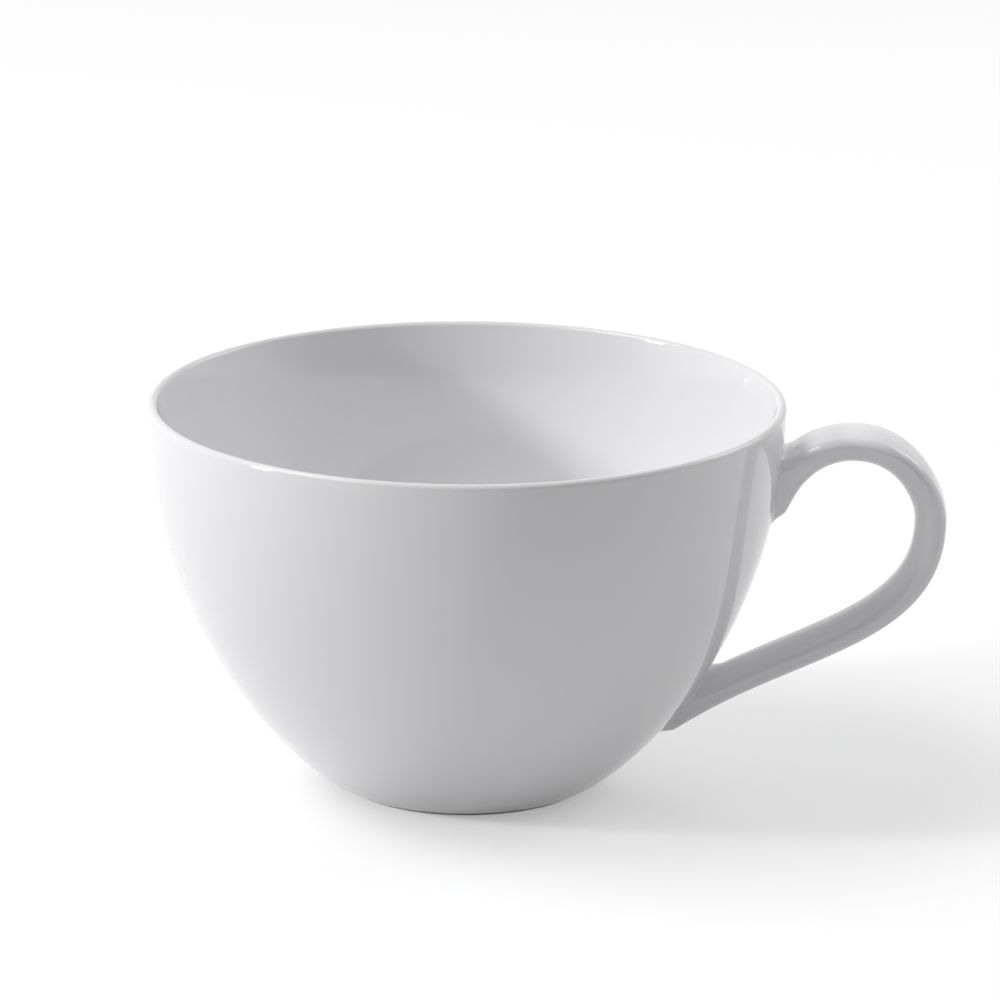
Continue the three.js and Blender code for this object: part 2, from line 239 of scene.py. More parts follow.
class CupStudio(bpy.types.PropertyGroup):
    """Camera, lamps, sky, card and floor"""

    camera_pitch: angle("Camera pitch", "How far the camera looks down", 16.075)
    camera_turn: angle("Camera turn", "How far the handle turns towards the camera", 3.4)
    camera_roll: angle("Camera roll", "Turn of the picture about its middle", 0.339)
    camera_depth: length("Camera depth", "From the camera to the rim's middle along the view", 1006.27 * MM)
    focal_pixels: FloatProperty(
        name="Focal length in pixels", description="Focal length over the pixel size", default=5540.0, min=1.0
    )
    picture_pixels: FloatProperty(
        name="Picture size", description="Width and height of the picture in pixels", default=1000.0, min=1.0
    )
    rim_pixel: FloatVectorProperty(
        name="Rim pixel",
        description="Where the rim's middle is in the picture",
        size=2,
        default=(467.05, 398.4),
    )
    lamp_distance: length("Lamp distance", "From the cup to each lamp", 1.6)
    key_power: power("Key power", "Power of the key lamp", 9.0)
    key_turn: angle("Key turn", "Where the key stands, anticlockwise from the picture's right", 192.5)
    key_height: angle("Key height", "How high the key stands over the table", 20.0)
    key_size: length("Key size", "Width and height of the key lamp", 0.2)
    left_bank_power: power("Left bank power", "Power of the wide lamp high on the left", 8.3)
    left_bank_turn: angle("Left bank turn", "Where the left bank stands", 180.0)
    left_bank_height: angle("Left bank height", "How high the left bank stands", 55.0)
    right_bank_power: power("Right bank power", "Power of the wide lamp on the right", 4.85)
    right_bank_turn: angle("Right bank turn", "Where the right bank stands", 30.0)
    right_bank_height: angle("Right bank height", "How high the right bank stands", 32.0)
    bank_width: length("Bank width", "Width of each bank", 0.9)
    bank_depth: length("Bank depth", "Height of each bank's face", 0.7)
    sky: factor("Sky", "Strength of the even light from all round", 0.435, 2.0)
    sky_tint: colour("Sky tint", "Colour of the even light", (0.988, 0.988, 1.0))
    card: colour("Card", "Grey of the card that shades the cup's front and sides", (0.03, 0.03, 0.03))
    card_spread: angle("Card spread", "How far round the card goes", 186.0)
    card_fade: angle("Card fade", "How much of each end of the card thins out", 36.0)
    card_distance: length("Card distance", "From the cup to the card", 1.9)
    card_height: length("Card height", "Height of the card", 1.1)
    floor: colour("Floor", "Colour of the floor", (0.8, 0.8, 0.8))
    floor_lift: factor("Floor lift", "White that the floor adds where it is seen", 0.35)
    floor_size: length("Floor size", "Width of the floor", 12.0)


def cubic(controls, share):
    """Points of a cubic curve at an array of shares."""
    rest = 1.0 - share
    weights = np.stack([rest**3, 3 * rest**2 * share, 3 * rest * share**2, share**3], axis=-1)
    return weights @ np.asarray(controls)


def cubic_heading(controls, share):
    """Unit tangents of a cubic curve at an array of shares."""
    rest = 1.0 - share
    hops = np.diff(np.asarray(controls), axis=0)
    weights = np.stack([rest**2, 2 * rest * share, share**2], axis=-1)
    return unit(weights @ hops)


def unit(vectors):
    """Vectors brought to length one."""
    return vectors / np.linalg.norm(vectors, axis=-1, keepdims=True)


def left_of(headings):
    """Headings turned left by a quarter turn."""
    return np.stack([-headings[:, 1], headings[:, 0]], axis=1)


def heading_at(turn):
    """Heading at an angle."""
    return np.array((math.cos(turn), math.sin(turn)))


def ease(share):
    """Smooth step from nought to one."""
    held = np.clip(share, 0.0, 1.0)
    return held * held * (3 - 2 * held)


def round_edge(centre, radius, start, end, count):
    """Points of a round edge, without its ends; angles in degrees."""
    turn = np.radians(np.linspace(start, end, count + 1)[1:-1])
    return [(centre[0] + radius * math.cos(t), centre[1] + radius * math.sin(t)) for t in turn]


def bend_at(start, corner, end, share):
    """Places of a quadratic bend at a share."""
    rest = 1 - share
    return rest**2 * start + 2 * rest * share * corner + share**2 * end


def bend_points(start, corner, end, count):
    """Points of a quadratic bend after its start."""
    share = np.linspace(0, 1, count + 1)[1:, None]
    return [tuple(p) for p in bend_at(np.array(start), np.array(corner), np.array(end), share)]


def bowl_side(sizes):
    """Control points of the bowl's outside from the lip to the foot: radius and height."""
    rim = sizes.rim_diameter / 2
    foot = sizes.foot_diameter / 2
    lip_height = sizes.height - sizes.lip_thickness / 2
    return np.array([
        (rim, lip_height),
        (rim - sizes.wall_lean, lip_height - sizes.wall_drop),
        (foot + sizes.base_sweep, sizes.foot_edge_radius),
        (foot, sizes.foot_edge_radius),
    ])


def even_shares(controls, count):
    """Curve shares that cut the curve into steps of equal length."""
    fine = np.linspace(0, 1, SIDE_SAMPLES)
    hops = np.linalg.norm(np.diff(cubic(controls, fine), axis=0), axis=1)
    run = np.concatenate([[0], np.cumsum(hops)])
    return np.interp(np.linspace(0, run[-1], count + 1), run, fine)


def bowl_inside(sizes):
    """Inside of the bowl from under the lip's round to the floor's level part, and the floor's height."""
    side = bowl_side(sizes)
    share = np.append(even_shares(side, sizes.side_steps), sizes.round_floor_share)
    share = np.unique(share[share <= sizes.round_floor_share])
    heading = cubic_heading(side, share)
    outside = cubic(side, share)
    growth = 1.0 - np.exp((outside[:, 1:] - outside[0, 1]) / sizes.wall_taper)
    thickness = sizes.lip_thickness + (sizes.wall_thickness - sizes.lip_thickness) * growth
    wall = outside - left_of(heading) * thickness
    floor = sizes.foot_recess + sizes.floor_thickness
    reach = (floor - wall[-1][1]) / heading[-1][1]
    corner = wall[-1] + heading[-1] * reach
    round_steps = sizes.side_steps // WALL_STEPS_PER_ROUND_STEP
    rounding = bend_points(wall[-1], corner, (corner[0] - reach, floor), round_steps)
    return [tuple(p) for p in wall[1:]] + rounding, floor


def level_run(radius, height):
    """Points on a level run from the axis out to a radius, without its end."""
    return [(radius * part / LEVEL_STEPS, height) for part in range(LEVEL_STEPS)]


def bowl_profile(sizes):
    """Closed outline of half the bowl, from the middle of the recess round to the middle of the floor."""
    edge = sizes.foot_edge_radius
    foot = sizes.foot_diameter / 2
    ring = foot - sizes.foot_ring_width
    lip = sizes.lip_thickness / 2
    lip_centre = (sizes.rim_diameter / 2 - lip, sizes.height - lip)
    side = bowl_side(sizes)
    outside = cubic(side, even_shares(side, sizes.side_steps))[::-1]
    inside, floor = bowl_inside(sizes)
    recess_corner = np.array((ring - sizes.recess_lean, sizes.foot_recess))
    recess_end = np.array((ring, edge))
    down = unit(recess_end - recess_corner) * sizes.recess_round
    before = (recess_corner[0] - sizes.recess_round, sizes.foot_recess)
    recess = level_run(*before) + [before]
    recess += bend_points(before, recess_corner, recess_corner + down, sizes.edge_steps)
    standing = np.linspace(ring + edge, foot - edge, STANDING_POINTS)
    return (
        recess
        + [tuple(recess_end)]
        + round_edge((ring + edge, edge), edge, 180, 270, sizes.edge_steps)
        + [(radius, 0.0) for radius in standing]
        + round_edge((foot - edge, edge), edge, 270, 360, sizes.edge_steps)
        + [tuple(p) for p in outside]
        + round_edge(lip_centre, lip, 0, 180, 2 * sizes.edge_steps)
        + inside
        + level_run(inside[-1][0], floor)[::-1]
    )


class WallTable:
    """The bowl's outside as a fine table, for distances from it"""

    def __init__(self, sizes):
        share = np.linspace(0, 1, SIDE_SAMPLES)
        side = bowl_side(sizes)
        self.points = cubic(side, share)
        self.outward = left_of(cubic_heading(side, share))

    def near(self, places):
        """Signed distances off the wall, and the ways it faces there."""
        flat = np.stack([np.hypot(places[:, 0], places[:, 1]), places[:, 2]], axis=1)
        gaps = np.linalg.norm(flat[:, None] - self.points[None], axis=2)
        nearest = np.argmin(gaps, axis=1)
        facing = self.outward[nearest]
        distance = np.sum((flat - self.points[nearest]) * facing, axis=1)
        turn = facing[:, 0] / flat[:, 0]
        return distance, np.stack([places[:, 0] * turn, places[:, 1] * turn, facing[:, 1]], axis=1)

    def radius(self, height):
        """Radius of the bowl's outside at a height."""
        return float(np.interp(height, self.points[::-1, 1], self.points[::-1, 0]))


def on_arc(station):
    """Stations held between the roots, and the arc that each one lies on."""
    held = np.clip(station, UPPER_ROOT, LOWER_ROOT)
    return held, np.minimum(held.astype(int), LOWER_ROOT - 1)


def eased_size(stops, station):
    """A size that eases from its value at one whole station to the next."""
    held, arc = on_arc(station)
    stops = np.asarray(stops)
    return stops[arc] + (stops[arc + 1] - stops[arc]) * ease(held - arc)


def stand_up(outward, flat):
    """Places or facings in the strap's section, stood up in the cup's space."""
    return np.stack([outward[:, 0] * flat[:, 0], flat[:, 1], outward[:, 1] * flat[:, 0]], axis=1)


class Strap:
    """The strap's surface, as lines that run along it from root to root"""

    FACE_SHARES = (0.03, 0.2, 0.4, 0.6, 0.8, 0.97)

    def __init__(self, bowl, sizes):
        self.sizes = sizes
        self.wall = WallTable(bowl)
        upper = np.array((self.wall.radius(sizes.upper_root_height), sizes.upper_root_height))
        lower = np.array((self.wall.radius(sizes.lower_root_height), sizes.lower_root_height))
        crest = np.array((sizes.crest_from_axis, sizes.crest_height))
        bend = np.array((sizes.reach - sizes.bend_thickness / 2, sizes.bend_height))
        along = np.array((1.0, 0.0))
        up = np.array((0.0, 1.0))
        self.arcs = [
            [upper, upper + heading_at(sizes.upper_root_angle) * sizes.upper_root_pull,
             crest - along * sizes.crest_pull_in, crest],
            [crest, crest + along * sizes.crest_pull_out, bend + up * sizes.bend_pull_up, bend],
            [bend, bend - up * sizes.bend_pull_down,
             lower + heading_at(sizes.lower_root_angle) * sizes.lower_root_pull, lower],
        ]
        # Four round corners, two of them with both their ends, and two flat faces.
        self.lines = 4 * sizes.edge_steps + 2 * (1 + len(self.FACE_SHARES))

    def centre(self, station):
        """Centre line and its outward side at stations; straight on past the roots."""
        held, arc = on_arc(station)
        point = np.zeros((len(station), 2))
        heading = np.zeros((len(station), 2))
        for which, controls in enumerate(self.arcs):
            here = arc == which
            point[here] = cubic(controls, held[here] - which)
            heading[here] = cubic_heading(controls, held[here] - which)
        point += heading * ((station - held) * self.sizes.root_depth)[:, None]
        return point, left_of(heading)

    def section(self, station):
        """Outlines of the strap at stations: places and facings as (stations, lines, 2)."""
        s = self.sizes
        thick = eased_size([s.root_thickness, s.crest_thickness, s.bend_thickness, s.tail_thickness], station)
        width = eased_size([s.root_width, s.crest_width, s.bend_width, s.tail_width], station)
        bend_edge = (s.crest_edge + s.tail_edge) / 2
        outer = eased_size([s.crest_edge, s.crest_edge, bend_edge, s.tail_edge], station)
        inner = eased_size([s.crest_inner_round] * 2 + [s.tail_inner_round] * 2, station)
        crown = eased_size([s.crown, s.crown, s.crown / 2, 0.0], station)
        half = np.stack([thick, width], axis=1) / 2
        outer_reach = np.stack([outer, outer], axis=1)
        inner_reach = np.stack([thick - outer, np.minimum(inner, width / 2)], axis=1)
        corners = []
        for side in np.array(((1, 1), (-1, 1), (-1, -1), (1, -1))):
            reach = outer_reach if side[0] > 0 else inner_reach
            turn = np.radians(90 * (len(corners) + np.linspace(0, 1, s.edge_steps + 1)))
            round_way = np.stack([np.cos(turn), np.sin(turn)], axis=1)
            places = ((half - reach) * side)[:, None] + reach[:, None] * round_way
            first = len(corners) % 2
            corners.append((places[:, first:], unit(round_way / reach[:, None])[:, first:]))
        places = []
        facings = []
        shares = np.array(self.FACE_SHARES)[None, :, None]
        for corner, (place, facing) in enumerate(corners):
            places.append(place)
            facings.append(facing)
            if corner % 2:
                start = place[:, -1:]
                face = start + (corners[(corner + 1) % 4][0][:, :1] - start) * shares
                places.append(face)
                facings.append(np.broadcast_to(facing[:, -1:], face.shape))
        places = np.concatenate(places, axis=1)
        shares = places / half[:, None]
        places[:, :, 0] -= crown[:, None] * shares[:, :, 1] ** 2 * np.clip(shares[:, :, 0], 0.0, 1.0)
        return places, np.concatenate(facings, axis=1)

    def on_lines(self, station):
        """Places and facings on all lines, each line at its own station."""
        point, outward = self.centre(station)
        place, facing = self.section(station)
        own = np.arange(self.lines)
        place = place[own, own]
        facing = facing[own, own]
        middle = np.stack([point[:, 0], np.zeros(len(point)), point[:, 1]], axis=1)
        return stand_up(outward, place) + middle, stand_up(outward, facing)

    def off_wall(self, root, distance):
        """Stations where each line stands a distance off the bowl, near a root."""
        out = 1 if root == UPPER_ROOT else -1
        inner = np.full(self.lines, root - out, dtype=float)
        outer = np.full(self.lines, root + out, dtype=float)
        for _ in range(HALVINGS):
            middle = (inner + outer) / 2
            gap, _ = self.wall.near(self.on_lines(middle)[0])
            inside = gap < distance
            inner = np.where(inside, middle, inner)
            outer = np.where(inside, outer, middle)
        return outer

    def root_end(self, root, distances):
        """Rings of a blunt end at distances off the wall, and the way each line faces."""
        s = self.sizes
        corner, facing = self.on_lines(self.off_wall(root, s.blunt))
        start = self.on_lines(self.off_wall(root, s.blunt + s.blunt_round))[0]
        wall = self.wall.near(corner)[1]
        way = unit(unit(corner - start) - wall * s.blunt_turn)
        drop = -np.sum(way * wall, axis=1, keepdims=True)
        rings = []
        for distance in distances:
            below = (s.blunt - distance) / s.blunt_round
            # A parabola takes the corner's place within the round's reach.
            rounding = max(0.0, 1 - abs(below)) ** 2 / 4
            ring = corner + way / drop * max(0.0, s.blunt - distance)
            if below < 0:
                ring = corner + (start - corner) * -below
            rings.append(ring + ((start - corner) + way / drop * s.blunt_round) * rounding)
        return rings, facing

    def handle_rings(self):
        """Rings of the whole handle, from inside the wall at one root to the other."""
        s = self.sizes
        free = s.blunt + s.blunt_round
        start = self.off_wall(UPPER_ROOT, free)
        end = self.off_wall(LOWER_ROOT, free)
        shares = np.linspace(0, 1, s.strap_steps + 1)
        strap = [self.on_lines(start + (end - start) * share)[0] for share in shares]
        sunk = np.linspace(free, -s.wall_bite, s.end_steps + 1)[1:]
        upper = self.root_end(UPPER_ROOT, sunk)[0]
        lower = self.root_end(LOWER_ROOT, sunk)[0]
        return upper[::-1] + strap + lower

    def joint_rings(self, root):
        """Rings of the fillet round a root, closed inside the strap and the wall."""
        reach = self.sizes.fillet
        sink = self.sizes.fillet_sink
        (lead, start, corner), facing = self.root_end(root, (reach + LEAD_SINKS * sink, reach, 0.0))
        wall = self.wall.near(corner)[1]
        over = unit(facing - wall * np.sum(facing * wall, axis=1, keepdims=True))
        end = corner + over * reach
        gap, end_wall = self.wall.near(end)
        end -= end_wall * gap[:, None]
        rings = [lead - facing * STRAP_SINKS * sink]
        for share in np.linspace(0, 1, self.sizes.fillet_steps + 1):
            dip = facing * (1 - share) ** DIP_POWER + end_wall * share**DIP_POWER
            rings.append(bend_at(start, corner, end, share) - dip * sink)
        rings.append(end + over * LEAD_SINKS * sink - end_wall * WALL_SINKS * sink)
        rings.append(corner - facing * self.sizes.wall_bite - wall * self.sizes.wall_bite)
        return rings


def glazed_piece(name, node, build, material):
    """A smooth piece in the cup's own place, which stands for a solid of the frame."""
    bmesh.ops.recalc_face_normals(build, faces=build.faces)
    mesh = bpy.data.meshes.new(name)
    build.to_mesh(mesh)
    build.free()
    mesh.shade_smooth()
    mesh.materials.append(material)
    piece = bpy.data.objects.new(name, mesh)
    bpy.context.scene.collection.objects.link(piece)
    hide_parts(node)
    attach(piece, BODY)


def turned(profile, count):
    """A profile turned about the cup's axis; its first and last points lie on the axis."""
    build = bmesh.new()
    turns = np.linspace(0, 2 * math.pi, count, endpoint=False)
    first = build.verts.new((AXIS_X, 0.0, profile[0][1]))
    last = build.verts.new((AXIS_X, 0.0, profile[-1][1]))
    rings = []
    for radius, height in profile[1:-1]:
        rings.append([
            build.verts.new((AXIS_X + radius * math.cos(t), radius * math.sin(t), height)) for t in turns
        ])
    for side in range(count):
        beside = (side + 1) % count
        build.faces.new((first, rings[0][side], rings[0][beside]))
        build.faces.new((last, rings[-1][beside], rings[-1][side]))
        for ring, following in zip(rings, rings[1:]):
            build.faces.new((ring[side], following[side], following[beside], ring[beside]))
    return build


def skinned(rings, joined):
    """A skin over rings of points; the ends are capped, or joined to each other."""
    build = bmesh.new()
    made = [[build.verts.new((AXIS_X + x, y, z)) for x, y, z in ring] for ring in rings]
    count = len(made[0])
    pairs = list(zip(made, made[1:]))
    if joined:
        pairs.append((made[-1], made[0]))
    for ring, following in pairs:
        for side in range(count):
            beside = (side + 1) % count
            build.faces.new((ring[side], following[side], following[beside], ring[beside]))
    if not joined:
        build.faces.new(made[0])
        build.faces.new(made[-1])
    return build


class NodeBench:
    """Adds and links the nodes of one tree"""

    def __init__(self, tree):
        self.tree = tree
        self.column = 0

    def add(self, kind, inputs=None, **settings):
        """A node with its settings, and values or links on its inputs."""
        node = self.tree.nodes.new(kind)
        node.location = (self.column, 0)
        self.column += NODE_SPACING
        for key, value in settings.items():
            setattr(node, key, value)
        for key, value in (inputs or {}).items():
            self.feed(node.inputs[key], value)
        return node

    def feed(self, socket, value):
        """Links an output to an input, or sets a plain value on it."""
        if isinstance(value, bpy.types.NodeSocket):
            self.tree.links.new(value, socket)
        else:
            socket.default_value = value

    def math(self, operation, *values):
        """A math node's output."""
        inputs = dict(enumerate(values))
        return self.add("ShaderNodeMath", inputs, operation=operation).outputs[0]

    def spread(self, value, low, high, new_low=0.0, new_high=1.0):
        """A value mapped smoothly from one span to another."""
        inputs = {"Value": value, "From Min": low, "From Max": high, "To Min": new_low, "To Max": new_high}
        return self.add("ShaderNodeMapRange", inputs, interpolation_type="SMOOTHSTEP").outputs["Result"]

    def noise(self, settings, **links):
        """A noise texture's value."""
        return self.add("ShaderNodeTexNoise", {**links, **settings}).outputs["Fac"]

    def blend(self, share, below, above):
        """Two colours mixed by a share."""
        node = self.add("ShaderNodeMix", data_type="RGBA")
        for socket, value in (("Factor_Float", share), ("A_Color", below), ("B_Color", above)):
            self.feed(next(i for i in node.inputs if i.identifier == socket), value)
        return next(o for o in node.outputs if o.identifier == "Result_Color")


def opaque(rgb):
    """A colour with full alpha."""
    return (*rgb, 1.0)


def shaded(rgb, share):
    """A colour times a share."""
    return [share * part for part in rgb]


def glaze_skin_group():
    """Node group of the fired glaze: clouds of tone, ripple, pinholes and specks."""
    name = "glaze_skin"
    if name in bpy.data.node_groups:
        return bpy.data.node_groups[name]
    tree = bpy.data.node_groups.new(name, "ShaderNodeTree")
    for socket, default in SKIN_INPUTS.items():
        made = tree.interface.new_socket(name=socket, in_out="INPUT", socket_type="NodeSocketFloat")
        made.default_value = default
    for socket in ("Cloud", "Speck", "Roughness", "Height"):
        tree.interface.new_socket(name=socket, in_out="OUTPUT", socket_type="NodeSocketFloat")
    bench = NodeBench(tree)
    given = bench.add("NodeGroupInput").outputs
    place = bench.add("ShaderNodeTexCoord").outputs["Object"]
    cloud = bench.noise(CLOUD_NOISE, Vector=place, Scale=given["Cloud Scale"])
    ripple = bench.noise(RIPPLE_NOISE, Vector=place, Scale=given["Ripple Scale"])
    cells = bench.add("ShaderNodeTexVoronoi", {"Vector": place, "Scale": given["Speck Scale"]})
    draw = bench.add("ShaderNodeSeparateColor", {"Color": cells.outputs["Color"]}).outputs
    chosen = bench.math("LESS_THAN", draw["Red"], given["Speck Share"])
    width = bench.spread(draw["Green"], 0.0, 1.0, *SPECK_WIDTHS)
    inside = bench.spread(bench.math("DIVIDE", cells.outputs["Distance"], width), *SPECK_BLUR, *FALLING)
    speck = bench.math("MULTIPLY", inside, chosen)
    roughness = bench.math("ADD", given["Gloss"], bench.spread(cloud, *GLOSS_SPAN, *GLOSS_CHANGE))
    roughness = bench.math("ADD", roughness, bench.math("MULTIPLY", speck, SPECK_ROUGHNESS))
    height = bench.math("SUBTRACT", ripple, bench.math("MULTIPLY", speck, SPECK_DEPTH))
    bench.add("NodeGroupOutput", {
        "Cloud": bench.spread(cloud, *NOISE_SPAN), "Speck": speck, "Roughness": roughness, "Height": height,
    })
    return tree


def empty_bench(owner):
    """The bench of a material or world whose tree is cleared."""
    owner.use_nodes = True
    owner.node_tree.nodes.clear()
    return NodeBench(owner.node_tree)


def glaze_nodes(name, look, scales):
    """A new porcelain material, its bench, the outputs of its glaze group and its shader."""
    material = bpy.data.materials.new(name)
    bench = empty_bench(material)
    skin = bench.add("ShaderNodeGroup", node_tree=glaze_skin_group())
    skin.inputs["Gloss"].default_value = look.gloss_roughness
    for key, value in scales.items():
        skin.inputs[key].default_value = value
    shader = bench.add("ShaderNodeBsdfPrincipled", {"IOR": GLAZE_IOR})
    bench.add("ShaderNodeOutputMaterial", {"Surface": shader.outputs["BSDF"]})
    return material, bench, skin.outputs, shader


def glaze_tone(bench, skin, look):
    """Colour of the glaze with its clouds and specks."""
    clouded = bench.blend(skin["Cloud"], opaque(look.glaze), opaque(shaded(look.glaze, CLOUD_SHADE)))
    return bench.blend(bench.math("MULTIPLY", skin["Speck"], SPECK_STRENGTH), clouded, opaque(look.speck))


def finish_glaze(bench, shader, look, tone, roughness, relief):
    """Feeds the shader its colour, its roughness and the relief as a bump."""
    bump = bench.add("ShaderNodeBump", {"Strength": 1.0, "Distance": look.ripple_depth, "Height": relief})
    bench.feed(shader.inputs["Base Color"], tone)
    bench.feed(shader.inputs["Roughness"], roughness)
    bench.feed(shader.inputs["Normal"], bump.outputs["Normal"])


def bowl_glaze(look, sizes):
    """Glaze of the bowl: thin on the lip, and stopped short on the foot's bare standing ring."""
    material, bench, skin, shader = glaze_nodes("bowl_glaze", look, BOWL_SKIN)
    place = bench.add("ShaderNodeTexCoord").outputs["Object"]
    height = bench.add("ShaderNodeSeparateXYZ", {"Vector": place}).outputs["Z"]
    wander = bench.spread(bench.noise(LINE_NOISE, Vector=place), *NOISE_SPAN, -LINE_WANDER, LINE_WANDER)
    line = bench.math("ADD", height, wander)
    bare = bench.spread(line, look.glaze_line - LINE_BLUR, look.glaze_line + LINE_BLUR, *FALLING)
    lip = bench.spread(height, sizes.height - sizes.lip_thickness, sizes.height, *THIN_SPAN)
    glazed = bench.blend(lip, glaze_tone(bench, skin, look), opaque(look.thin_glaze))
    grain = bench.noise(GRAIN_NOISE, Vector=place)
    dark_clay = shaded(look.bare_clay, CLAY_SHADE)
    clay = bench.blend(bench.spread(grain, *GRAIN_SPAN), opaque(look.bare_clay), opaque(dark_clay))
    clay_roughness = bench.spread(
        grain, *NOISE_SPAN, look.clay_roughness - CLAY_SMOOTHER, look.clay_roughness + CLAY_ROUGHER
    )
    keep = bench.math("SUBTRACT", 1.0, bare)
    roughness = bench.math(
        "ADD", bench.math("MULTIPLY", skin["Roughness"], keep), bench.math("MULTIPLY", clay_roughness, bare)
    )
    relief = bench.math(
        "ADD", bench.math("MULTIPLY", skin["Height"], keep), bench.math("MULTIPLY", grain, bare)
    )
    finish_glaze(bench, shader, look, bench.blend(bare, glazed, clay), roughness, relief)
    return material


def handle_glaze(look):
    """Glaze of the handle and its joints: thin where the strap's edges turn sharply."""
    material, bench, skin, shader = glaze_nodes("handle_glaze", look, STRAP_SKIN)
    pointed = bench.add("ShaderNodeNewGeometry").outputs["Pointiness"]
    edge = bench.spread(pointed, *EDGE_SPAN, *THIN_SPAN)
    tone = bench.blend(edge, glaze_tone(bench, skin, look), opaque(look.thin_glaze))
    finish_glaze(bench, shader, look, tone, skin["Roughness"], skin["Height"])
    return material


def strap_glaze(scene):
    """The handle's glaze, made once for the strap and its joints."""
    made = bpy.data.materials.get("handle_glaze")
    return made or handle_glaze(scene.cup_glaze)


class CUP_OT_make_bowl(bpy.types.Operator):
    """Turn the bowl with its lip, floor and foot ring"""

    bl_idname = "cup.make_bowl"
    bl_label = "Make bowl"

    def execute(self, context):
        sizes = context.scene.cup_bowl
        build = turned(bowl_profile(sizes), sizes.turn_steps)
        glazed_piece("glazed_bowl", "bowl", build, bowl_glaze(context.scene.cup_glaze, sizes))
        return {"FINISHED"}


class CUP_OT_make_handle(bpy.types.Operator):
    """Sweep the strap handle from root to root"""

    bl_idname = "cup.make_handle"
    bl_label = "Make handle"

    def execute(self, context):
        scene = context.scene
        rings = Strap(scene.cup_bowl, scene.cup_handle).handle_rings()
        glazed_piece("glazed_handle", "handle", skinned(rings, False), strap_glaze(scene))
        return {"FINISHED"}


class CUP_OT_make_joints(bpy.types.Operator):
    """Draw the slip fillets round both roots of the handle"""

    bl_idname = "cup.make_joints"
    bl_label = "Make slip joints"

    def execute(self, context):
        scene = context.scene
        strap = Strap(scene.cup_bowl, scene.cup_handle)
        for node, root in (("upper_joint", UPPER_ROOT), ("lower_joint", LOWER_ROOT)):
            build = skinned(strap.joint_rings(root), True)
            glazed_piece("glazed_" + node, node, build, strap_glaze(scene))
        return {"FINISHED"}


def camera_axes(studio):
    """Right, level away, down and forward of the camera before its roll, in the cup's frame."""
    turn = studio.camera_turn
    pitch = studio.camera_pitch
    right = Vector((math.cos(turn), math.sin(turn), 0.0))
    away = Vector((-math.sin(turn), math.cos(turn), 0.0))
    forward = away * math.cos(pitch) - Vector((0.0, 0.0, math.sin(pitch)))
    down = forward.cross(right)
    return right, away, down, forward


def place_camera(scene, studio, rim_middle):
    """A camera that sees the rim's middle at its place in the picture."""
    right, _, down, forward = camera_axes(studio)
    half = studio.picture_pixels / 2
    across = studio.rim_pixel[0] - half
    below = studio.rim_pixel[1] - half
    cos_roll = math.cos(studio.camera_roll)
    sin_roll = math.sin(studio.camera_roll)
    shift_right = (across * cos_roll + below * sin_roll) / studio.focal_pixels * studio.camera_depth
    shift_down = (below * cos_roll - across * sin_roll) / studio.focal_pixels * studio.camera_depth
    camera = bpy.data.cameras.new("photo_camera")
    camera.sensor_fit = "HORIZONTAL"
    camera.lens = camera.sensor_width * studio.focal_pixels / studio.picture_pixels
    camera.clip_start = CLIP_START
    camera.clip_end = CLIP_END
    placed = bpy.data.objects.new("photo_camera", camera)
    scene.collection.objects.link(placed)
    columns = (
        right * cos_roll - down * sin_roll,
        -(right * sin_roll + down * cos_roll),
        -forward,
    )
    pose = Matrix(columns).transposed().to_4x4()
    pose.translation = rim_middle - right * shift_right - down * shift_down - forward * studio.camera_depth
    placed.matrix_world = pose
    scene.camera = placed


def studio_way(studio, turn, height=0.0):
    """Unit vector from the cup to a place in the studio, turned from the picture's right."""
    right, away, _, _ = camera_axes(studio)
    level = right * math.cos(turn) + away * math.sin(turn)
    return level * math.cos(height) + Vector((0.0, 0.0, math.sin(height)))


def place_lamp(scene, studio, target, name, turn, height, watts, width, depth):
    """A soft rectangular lamp that faces the cup."""
    towards = studio_way(studio, turn, height)
    lamp = bpy.data.lights.new(name, "AREA")
    lamp.shape = "RECTANGLE"
    lamp.size = width
    lamp.size_y = depth
    lamp.energy = watts
    placed = bpy.data.objects.new(name, lamp)
    scene.collection.objects.link(placed)
    placed.location = target + towards * studio.lamp_distance
    placed.rotation_euler = (-towards).to_track_quat("-Z", "Y").to_euler()


def light_cup(scene, studio, target):
    """The key lamp low on the left and a wide bank high on each side."""
    key = (studio.key_turn, studio.key_height, studio.key_power, studio.key_size, studio.key_size)
    bank = (studio.bank_width, studio.bank_depth)
    left = (studio.left_bank_turn, studio.left_bank_height, studio.left_bank_power, *bank)
    right = (studio.right_bank_turn, studio.right_bank_height, studio.right_bank_power, *bank)
    for name, settings in (("key_lamp", key), ("left_bank", left), ("right_bank", right)):
        place_lamp(scene, studio, target, name, *settings)


def stage_piece(scene, name, corners, faces, material):
    """A plain mesh that belongs to the stage."""
    mesh = bpy.data.meshes.new(name)
    mesh.from_pydata(corners, [], faces)
    mesh.materials.append(material)
    piece = bpy.data.objects.new(name, mesh)
    scene.collection.objects.link(piece)
    return piece


def matt_material(name, tone):
    """A matt stage material, its bench and its shader."""
    material = bpy.data.materials.new(name)
    bench = empty_bench(material)
    shader = bench.add("ShaderNodeBsdfDiffuse", {"Color": opaque(tone)})
    return material, bench, shader.outputs["BSDF"]


